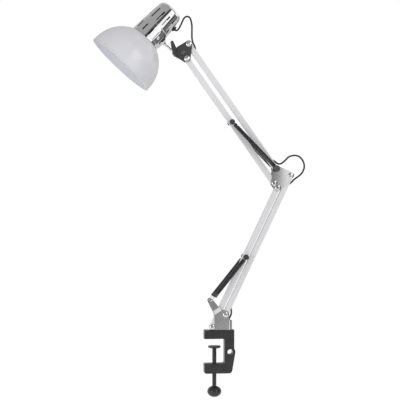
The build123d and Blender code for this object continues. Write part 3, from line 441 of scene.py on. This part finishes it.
# Cord stretches, in millimetres from their origin. Each one runs across one joint, from the first
# body to the second.
cordRoutes = {
    "head_loop_a": {
        "origin": linkMain, "bodies": ("head", "knuckle"),
        "steps": [
            (-30.39, 0.0, 32.40), (-28.48, 0.0, 30.64), (-23.6, 0.0, 32.8), (-16.6, 0.0, 45.8),
            (-9.6, 0.0, 63.1), (-3.3, 0.0, 63.9),
        ],
    },
    "head_loop_b": {
        "origin": linkMain, "bodies": ("knuckle", "link"),
        "steps": [
            (-3.3, 0.0, 63.9), (3.0, 0.0, 64.7), (8.3, 0.0, 46.5), (8.0, 0.0, 31.0),
            (8.1, 0.0, 19.0),
        ],
    },
    "head_loop_c": {
        "origin": linkMain, "bodies": ("link", "upper_main"),
        "steps": [
            (8.1, 0.0, 19.0), (8.2, 0.0, 7.0), (16.15, 0.0, -6.29), (15.97, 0.0, -13.79),
        ],
    },
    "elbow_loop_a": {
        "origin": elbowMain, "bodies": ("upper_main", "elbow"),
        "steps": [
            (-7.83, 0.0, 19.59), (-1.1, 0.0, 17.39), (4.2, 0.0, 10.98), (13.5, 0.0, 11.0),
            (24.0, 0.0, 20.5), (33.0, 0.0, 30.0), (43.5, 0.0, 30.8),
        ],
    },
    "elbow_loop_b": {
        "origin": elbowMain, "bodies": ("elbow", "lower_main"),
        "steps": [
            (43.5, 0.0, 30.8), (54.0, 0.0, 31.6), (66.5, 0.0, 17.0), (68.5, 0.0, 1.5),
            (61.0, 0.0, -12.5), (50.0, 0.0, -20.5), (42.5, 0.0, -25.5), (37.54, 0.0, -32.1),
            (30.69, 0.0, -36.26),
        ],
    },
    "cord_tail_a": {
        "origin": baseMain, "bodies": ("lower_main", "base"),
        "steps": [
            (13.34, 0.0, 16.35), (14.39, 0.0, 8.1), (14.6, 4.5, -1.5), (11.4, 10.2, -9.5),
            (8.0, 12.9, -18.5),
        ],
    },
    "cord_tail_b": {
        "origin": baseMain, "bodies": ("base", "clamp"),
        "steps": [
            (8.0, 12.9, -18.5), (5.73, 14.7, -24.5), (10.6, 20.0, -33.6), (18.6, 29.0, -42.6),
            (24.2, 38.0, -47.2), (24.2, 45.2, -47.2),
        ],
    },
}


def makeCord(name, settings):
    points = millimetres(settings["origin"], settings["steps"])
    piece, path = makeTube(f"cord_{name}", points, cordForm["loopSteps"])
    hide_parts(name)
    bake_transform(piece)
    print(name, "length", round(pathLength(path), 4))


for name, settings in cordRoutes.items():
    makeCord(name, settings)

# The put-away lead, in millimetres: a flat coil in two layers, in and out at the outside.
leadSettings = {
    "centre": (19.0, 45.2), "inner": 12.2, "pitch": 4.6, "turns": 4, "perTurn": 24,
    "layers": (8.4, 3.8), "fallTurns": 0.5,
    "exit": [
        (49.2, 53.0, 3.8), (48.3, 61.0, 3.8), (47.6, 70.0, 3.9), (43.4, 76.0, 7.0),
        (43.0, 84.0, 7.1),
    ],
}


def makeLead(settings):
    turns, perTurn = settings["turns"], settings["perTurn"]
    top, foot = settings["layers"]
    last = 2 * turns * perTurn
    points = []
    for index in range(last + 1):
        turn = index / perTurn
        angle = 2 * math.pi * turn
        radius = settings["inner"] + settings["pitch"] * abs(turn - turns)
        if 0 < index < last:
            radius /= math.cos(math.pi / perTurn)  # the curve runs inside its points
        fall = min(max((turn - turns) / settings["fallTurns"] + 0.5, 0), 1)
        points.append((
            settings["centre"][0] + radius * math.cos(angle),
            settings["centre"][1] + radius * math.sin(angle),
            top + (foot - top) * fall,
        ))
    points = millimetres(Vector((0, 0, 0)), points + settings["exit"])
    piece, path = makeTube("cord_lead", points, cordForm["leadSteps"])
    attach(piece, "clamp")
    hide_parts("lead_hank")
    print("lead length", round(pathLength(path), 4))


makeLead(leadSettings)
print("cords made")

# Balance springs, each wound from one ring of wire. The upper ones have their last turns
# on the bar's pin, with a straight wire that is drawn out of the coil as the arm comes down.
springForm = {
    "wire": 0.00075, "coil": 0.00425, "pitch": 0.00172, "sides": 8, "perTurn": 20,
    "apart": 0.0165, "sharp": 70,
}
springSettings = {
    "lower_coils": {
        "from": earTip, "to": lowerPin, "start": 0.012, "end": 0.0076,
        "body": "lower_spring", "replaced": ("lower_coils",),
    },
    "upper_coils": {
        "from": elbowMain, "to": upperPin, "start": 0.0086, "end": 0.0152,
        "body": "upper_spring", "replaced": ("upper_coils",),
    },
    "upper_end_coils": {
        "from": upperPin, "to": elbowMain, "start": 0.0076, "end": 0.1346,
        "body": "upper_hook", "replaced": (),
    },
}


def pairOn(foot, heading):
    # stands for a pair, in front of the arm and behind it
    sides = (-springForm["apart"], springForm["apart"])
    return [standOn(foot + rearward * side, heading) for side in sides]


def makeSprings(name, settings):
    form = springForm
    run = settings["to"] - settings["from"]
    heading = run.normalized()
    length = run.length - settings["start"] - settings["end"]
    turns = round(length / form["pitch"])
    bpy.ops.object.select_all(action="DESELECT")
    bpy.ops.mesh.primitive_circle_add(
        vertices=form["sides"], radius=form["wire"],
        location=(form["coil"], 0, 0), rotation=(math.pi / 2, 0, 0),
    )
    spring = settle()
    windUp(spring, length / turns, turns, form["perTurn"])
    bpy.ops.object.mode_set(mode="EDIT")
    bpy.ops.mesh.select_all(action="SELECT")
    bpy.ops.mesh.fill_holes(sides=form["sides"])
    faceOutward()
    leaveEdit()
    springs = copyTo(spring, pairOn(settings["from"] + heading * settings["start"], heading))
    finishPiece(
        springs, f"fine_{name}", "black_steel", settings["body"], settings["replaced"],
        form["sharp"],
    )


drawSettings = {
    "radius": 0.0011, "sides": 16, "start": 0.0155, "end": 0.052, "aside": 0.0022,
    "bevel": 0.0004, "sharp": 40,
}


def makeDrawWires(settings):
    heading = (elbowMain - upperPin).normalized()
    wire = addCylinder(settings["radius"], settings["start"], settings["end"], settings["sides"])
    roundEdges(wire, lambda face: looksUp(face) or looksDown(face), settings["bevel"])
    foot = upperPin + rearward.cross(heading) * settings["aside"]
    wires = copyTo(wire, pairOn(foot, heading))
    finishPiece(wires, "draw_wires", "black_steel", "upper_hook", (), settings["sharp"])


for name, settings in springSettings.items():
    makeSprings(name, settings)
makeDrawWires(drawSettings)
print("springs made")

threadSettings = {
    "crest": 0.00495, "root": 0.00455, "pitch": 0.003, "top": -0.0224, "foot": -0.1273,
    "around": 40, "flats": (0.4, 0.34),  # shares of the pitch, at the crest and at the root
    "spareTurns": 2, "seed": 0.0006, "windMerge": 0.000001, "weld": 0.000002, "sharp": 30,
}


def makeThread(settings):
    # one tooth's outline, wound down the screw and cut off level at both ends
    pitch, depth = settings["pitch"], settings["crest"] - settings["root"]
    crestFlat, rootFlat = (share * pitch for share in settings["flats"])
    slope = (pitch - crestFlat - rootFlat) / 2
    start = settings["top"] + pitch
    bpy.ops.object.select_all(action="DESELECT")
    bpy.ops.mesh.primitive_plane_add(
        size=settings["seed"], location=(settings["crest"], 0, start),
    )
    thread = settle()
    bpy.ops.object.mode_set(mode="EDIT")
    bpy.ops.mesh.select_mode(type="VERT")
    bpy.ops.mesh.select_all(action="SELECT")
    bpy.ops.mesh.merge(type="CENTER")
    for step in ((0, 0, -crestFlat), (-depth, 0, -slope), (0, 0, -rootFlat), (depth, 0, -slope)):
        bpy.ops.mesh.extrude_vertices_move(TRANSFORM_OT_translate={"value": step})
    leaveEdit()
    turns = math.ceil((start - settings["foot"]) / pitch) + settings["spareTurns"]
    windUp(thread, -pitch, turns, settings["around"], settings["windMerge"])
    bpy.ops.object.mode_set(mode="EDIT")
    for level, outward in ((settings["top"], 1), (settings["foot"], -1)):
        bpy.ops.mesh.select_all(action="SELECT")
        bpy.ops.mesh.bisect(
            plane_co=(0, 0, level), plane_no=(0, 0, outward), use_fill=True, clear_outer=True,
        )
    bpy.ops.mesh.select_all(action="SELECT")
    bpy.ops.mesh.remove_doubles(threshold=settings["weld"])
    faceOutward()
    leaveEdit()
    finishPiece(
        thread, "screw_thread", "black_steel", "screw", ("clamp_screw",), settings["sharp"],
    )


makeThread(threadSettings)
print("screw made")

# Round-headed bolts. A head stands on Z = 0 and its shank goes down from there.
boltForm = {
    "height": 0.0032, "rim": 0.0008, "rings": 7, "sweep": 80, "headSides": 40,
    "shank": 0.0025, "shankSides": 24, "tail": 0.005, "bevel": 0.0005,
    "crossSpan": 0.0072, "crossWidth": 0.0013, "crossDepth": 0.0015, "crossTurn": 24,
    "sharp": 45,
}
boltSettings = {
    "base_bolts": {
        "places": (baseMain, baseSecond), "cheek": 0.008, "head": 0.0065, "body": "base",
    },
    "elbow_bolts": {
        "places": (elbowSecond, elbowLowerMain, elbowLowerSecond), "cheek": 0.008,
        "head": 0.0065, "body": "elbow",
    },
    "link_bolts": {
        "places": (linkMain, linkSecond), "cheek": 0.0095, "head": 0.007, "body": "link",
    },
}


def onCheek(places, cheek, outward):
    return [standOn(place + outward * cheek, outward) for place in places]


def makeHead(radius, height, rim):
    # a low dome, drawn up in rings from a disc
    rings, sweep = boltForm["rings"], math.radians(boltForm["sweep"])
    head = addCylinder(radius, 0, rim, boltForm["headSides"])
    pickFaces(head, looksUp)
    before = (1.0, 0.0)
    for ring in range(1, rings + 1):
        slope = sweep * ring / rings
        after = (math.cos(slope), math.sin(slope))
        rise = (after[1] - before[1]) * (height - rim) / math.sin(sweep)
        bpy.ops.mesh.extrude_region_move(TRANSFORM_OT_translate={"value": (0, 0, rise)})
        shrink = after[0] / before[0]
        bpy.ops.transform.resize(value=(shrink, shrink, 1), center_override=(0, 0, 0))
        before = after
    leaveEdit()
    return head


def makeShank(radius, cheek, sides):
    shank = addCylinder(radius, -2 * cheek - boltForm["tail"], 0, sides)
    roundEdges(shank, looksDown, boltForm["bevel"])
    return shank


def cutSlot(head, height, span, width, depth, turn):
    low, high = height - depth, 2 * height
    bpy.ops.object.select_all(action="DESELECT")
    bpy.ops.mesh.primitive_cube_add(
        size=1, location=(0, 0, (low + high) / 2), rotation=(0, 0, turn),
        scale=(span, width, high - low),
    )
    cutWith(head, settle(), "DIFFERENCE")


def makeBolts(name, settings):
    form = boltForm
    cheek = settings["cheek"]
    head = makeHead(settings["head"], form["height"], form["rim"])
    turn = math.radians(form["crossTurn"])
    for slotTurn in (turn, turn + math.pi / 2):
        cutSlot(
            head, form["height"], form["crossSpan"], form["crossWidth"], form["crossDepth"],
            slotTurn,
        )
    bolt = joinPieces([head, makeShank(form["shank"], cheek, form["shankSides"])])
    bolts = copyTo(bolt, onCheek(settings["places"], cheek, -rearward))
    finishPiece(
        bolts, f"round_{name}", "zinc", settings["body"], (name,), form["sharp"], "bolt_zinc",
    )


tiltBoltSettings = {
    "cheek": 0.0095, "head": 0.0053, "height": 0.0024, "rim": 0.0005,
    "shank": 0.003, "shankSides": 28,
}


def makeTiltBolt(settings):
    cheek = settings["cheek"]
    head = makeHead(settings["head"], settings["height"], settings["rim"])
    shank = makeShank(settings["shank"], cheek, settings["shankSides"])
    bolt = copyTo(joinPieces([head, shank]), onCheek([tiltPivot], cheek, -rearward))
    # the tilt bolt's head takes the lighter black as a painted highlight
    finishPiece(
        bolt, "round_tilt_bolt", "black_plastic", "link", ("tilt_bolt",), boltForm["sharp"],
        "grey_black_and_sheen",
    )


nutForm = {
    "corner": 0.0048, "sides": 6, "height": 0.004, "round": 0.00476, "roundSides": 48,
    "bevel": 0.0007, "bore": 0.00255, "boreSides": 24, "sharp": 25,
}


def makeNuts(name, settings):
    form = nutForm
    nut = addCylinder(form["corner"], 0, form["height"], form["sides"])
    rounding = addCylinder(form["round"], 0, form["height"], form["roundSides"])
    roundEdges(rounding, looksUp, form["bevel"])
    cutWith(nut, rounding, "INTERSECT")
    bore = addCylinder(form["bore"], -form["height"], 2 * form["height"], form["boreSides"])
    cutWith(nut, bore, "DIFFERENCE")
    nuts = copyTo(nut, onCheek(settings["places"], settings["cheek"], rearward))
    finishPiece(
        nuts, f"hex_{name}", "zinc", settings["body"], (name,), form["sharp"], "bolt_zinc",
    )


strapScrewSettings = {
    "along": 0.100597, "reach": 0.0378, "turn": 55, "head": 0.0042, "height": 0.0024,
    "rim": 0.0006, "slotSpan": 0.0168, "slotWidth": 0.0011, "slotDepth": 0.0009, "slotTurn": 35,
}


def makeStrapScrews(settings):
    head = makeHead(settings["head"], settings["height"], settings["rim"])
    cutSlot(
        head, settings["height"], settings["slotSpan"], settings["slotWidth"],
        settings["slotDepth"], math.radians(settings["slotTurn"]),
    )
    middle = rimCentre + headHeading * settings["along"]
    stands = []
    for degrees in (-settings["turn"], settings["turn"]):
        turn = math.radians(degrees)
        facing = headSide * math.cos(turn) + rearward * math.sin(turn)
        stands.append(standOn(middle + facing * settings["reach"], facing))
    finishPiece(
        copyTo(head, stands), "slotted_strap_screws", "zinc", "head", ("strap_screws",),
        boltForm["sharp"], "bolt_zinc",
    )


for name, settings in boltSettings.items():
    makeBolts(name, settings)
    makeNuts(name.replace("bolts", "nuts"), settings)
makeTiltBolt(tiltBoltSettings)
makeStrapScrews(strapScrewSettings)
print("bolts and nuts made")

stageSettings = {
    "floorLevel": -0.16, "floorSize": 12.0, "floorColour": 0.9, "floorRough": 0.9,
    "floorPaper": 1.07, "shadowShare": 0.12, "paper": 1.0, "fill": 0.61,
}
lightSettings = {
    "key": {"place": (1.6, -1.9, 1.7), "target": (0, 0, 0.4), "size": (1.5, 1.5), "power": 12},
    "low": {
        "place": (-1.3, -1.2, 0.1), "target": (-0.2, 0, 0.65), "size": (1.0, 1.0), "power": 7,
    },
}

# Cards that only the bright metal mirrors. Those for the head stand round its middle, turned from
# the camera's side and lifted up its axis, with half their width as an angle.
headMiddle = Vector((-0.15, 0, 0.7))
headCards = {
    "grey_left": {"turn": -66, "half": 49, "lift": 17, "far": 1.6, "tall": 6.0, "shade": 0.36},
    "dark_front": {"turn": -8, "half": 9.5, "lift": 17, "far": 1.3, "tall": 4.0, "shade": 0.07},
    "dark_right": {"turn": 78.5, "half": 18.5, "lift": 17, "far": 1.0, "tall": 0.9, "shade": 0.17},
    "line_right": {"turn": 86, "half": 2.5, "lift": 17, "far": 0.9, "tall": 0.8, "shade": 0.04},
    "pale_right": {"turn": 138, "half": 41, "lift": 17, "far": 1.0, "tall": 1.2, "shade": 0.58},
    "pale_left": {"turn": -148, "half": 32, "lift": 17, "far": 1.2, "tall": 2.4, "shade": 0.5},
    "grey_top": {"turn": 10, "half": 30, "lift": 72, "far": 1.5, "tall": 1.1, "shade": 0.36},
}
armCards = {
    "grey_low": {
        "place": (-0.1, -0.8, 0.07), "wide": (0.8, 0, 0), "tall": (0, 0, 0.44), "shade": 0.32,
    },
    "grey_elbow": {
        "place": (0.08, -0.3, 0.4), "wide": (0.27, 0, 0), "tall": (0, 0, 0.2), "shade": 0.2,
    },
    "dark_low": {
        "place": (0.72, -0.5, 0.3), "wide": (0.2, 0.3, 0), "tall": (0, 0, 0.9), "shade": 0.05,
    },
}


def addMaximum(tree, first, second):
    larger = tree.nodes.new("ShaderNodeMath")
    larger.operation = "MAXIMUM"
    tree.links.new(first, larger.inputs[0])
    tree.links.new(second, larger.inputs[1])
    return larger.outputs["Value"]


def seenShare(tree):
    # 1 for what the camera sees, straight, in a mirror or through glass
    rays = tree.nodes.new("ShaderNodeLightPath").outputs
    direct = addMaximum(tree, rays["Is Camera Ray"], rays["Is Glossy Ray"])
    return addMaximum(tree, direct, rays["Is Transmission Ray"])


def makeFloor(settings):
    bpy.ops.object.select_all(action="DESELECT")
    bpy.ops.mesh.primitive_plane_add(
        size=settings["floorSize"], location=(0, 0, settings["floorLevel"]),
    )
    floor = settle()
    floor.name = "floor"
    material, tree, shader = newMaterial("floor_pale")
    grey = settings["floorColour"]
    shader.inputs["Base Color"].default_value = (grey, grey, grey, 1)
    shader.inputs["Roughness"].default_value = settings["floorRough"]
    paper = tree.nodes.new("ShaderNodeEmission")
    paper.inputs["Strength"].default_value = settings["floorPaper"]
    share = tree.nodes.new("ShaderNodeMath")
    share.operation = "MULTIPLY"
    share.inputs[1].default_value = 1 - settings["shadowShare"]
    mix = tree.nodes.new("ShaderNodeMixShader")
    tree.links.new(seenShare(tree), share.inputs[0])
    tree.links.new(share.outputs["Value"], mix.inputs["Fac"])
    tree.links.new(shader.outputs["BSDF"], mix.inputs[1])
    tree.links.new(paper.outputs["Emission"], mix.inputs[2])
    tree.links.new(mix.outputs["Shader"], tree.nodes["Material Output"].inputs["Surface"])
    floor.data.materials.append(material)


def makeWorld(settings):
    world = bpy.data.worlds.new("studio")
    world.use_nodes = True
    scene.world = world
    tree = world.node_tree
    fill = tree.nodes["Background"]
    paper = tree.nodes.new("ShaderNodeBackground")
    for light, strength in ((fill, settings["fill"]), (paper, settings["paper"])):
        light.inputs["Color"].default_value = (1, 1, 1, 1)
        light.inputs["Strength"].default_value = strength
    mix = tree.nodes.new("ShaderNodeMixShader")
    tree.links.new(seenShare(tree), mix.inputs["Fac"])
    tree.links.new(fill.outputs["Background"], mix.inputs[1])
    tree.links.new(paper.outputs["Background"], mix.inputs[2])
    tree.links.new(mix.outputs["Shader"], tree.nodes["World Output"].inputs["Surface"])


def addLight(name, settings):
    bpy.ops.object.light_add(type="AREA", location=settings["place"], rotation=aimOf(settings))
    light = bpy.context.object
    light.name = name
    light.data.shape = "RECTANGLE"
    light.data.size, light.data.size_y = settings["size"]
    light.data.energy = settings["power"]


def roundHead(settings):
    turn, half, lift = (math.radians(settings[angle]) for angle in ("turn", "half", "lift"))
    far = settings["far"]
    level = headSide * math.sin(turn) - rearward * math.cos(turn)
    along = headSide * math.cos(turn) + rearward * math.sin(turn)
    outward = level * math.cos(lift) + headHeading * math.sin(lift)
    upward = headHeading * math.cos(lift) - level * math.sin(lift)
    return {
        "place": headMiddle + outward * far, "wide": along * 2 * far * math.tan(half),
        "tall": upward * settings["tall"], "shade": settings["shade"],
    }


def addCard(name, settings):
    wide, tall = Vector(settings["wide"]), Vector(settings["tall"])
    bpy.ops.object.select_all(action="DESELECT")
    bpy.ops.mesh.primitive_plane_add(size=1)
    card = bpy.context.object
    card.name = f"card_{name}"
    face = Matrix((wide, tall, wide.cross(tall).normalized())).transposed()
    card.matrix_world = Matrix.Translation(settings["place"]) @ face.to_4x4()
    settle()
    material, tree, shader = newMaterial(f"card_{name}")
    tree.nodes.remove(shader)
    paper = tree.nodes.new("ShaderNodeEmission")
    paper.inputs["Strength"].default_value = settings["shade"]
    tree.links.new(paper.outputs["Emission"], tree.nodes["Material Output"].inputs["Surface"])
    card.data.materials.append(material)
    card.visible_camera = False
    card.visible_diffuse = False
    card.visible_shadow = False


makeFloor(stageSettings)
makeWorld(stageSettings)
for name, settings in lightSettings.items():
    addLight(name, settings)
for name, settings in headCards.items():
    addCard(name, roundHead(settings))
for name, settings in armCards.items():
    addCard(name, settings)
print("stage made")
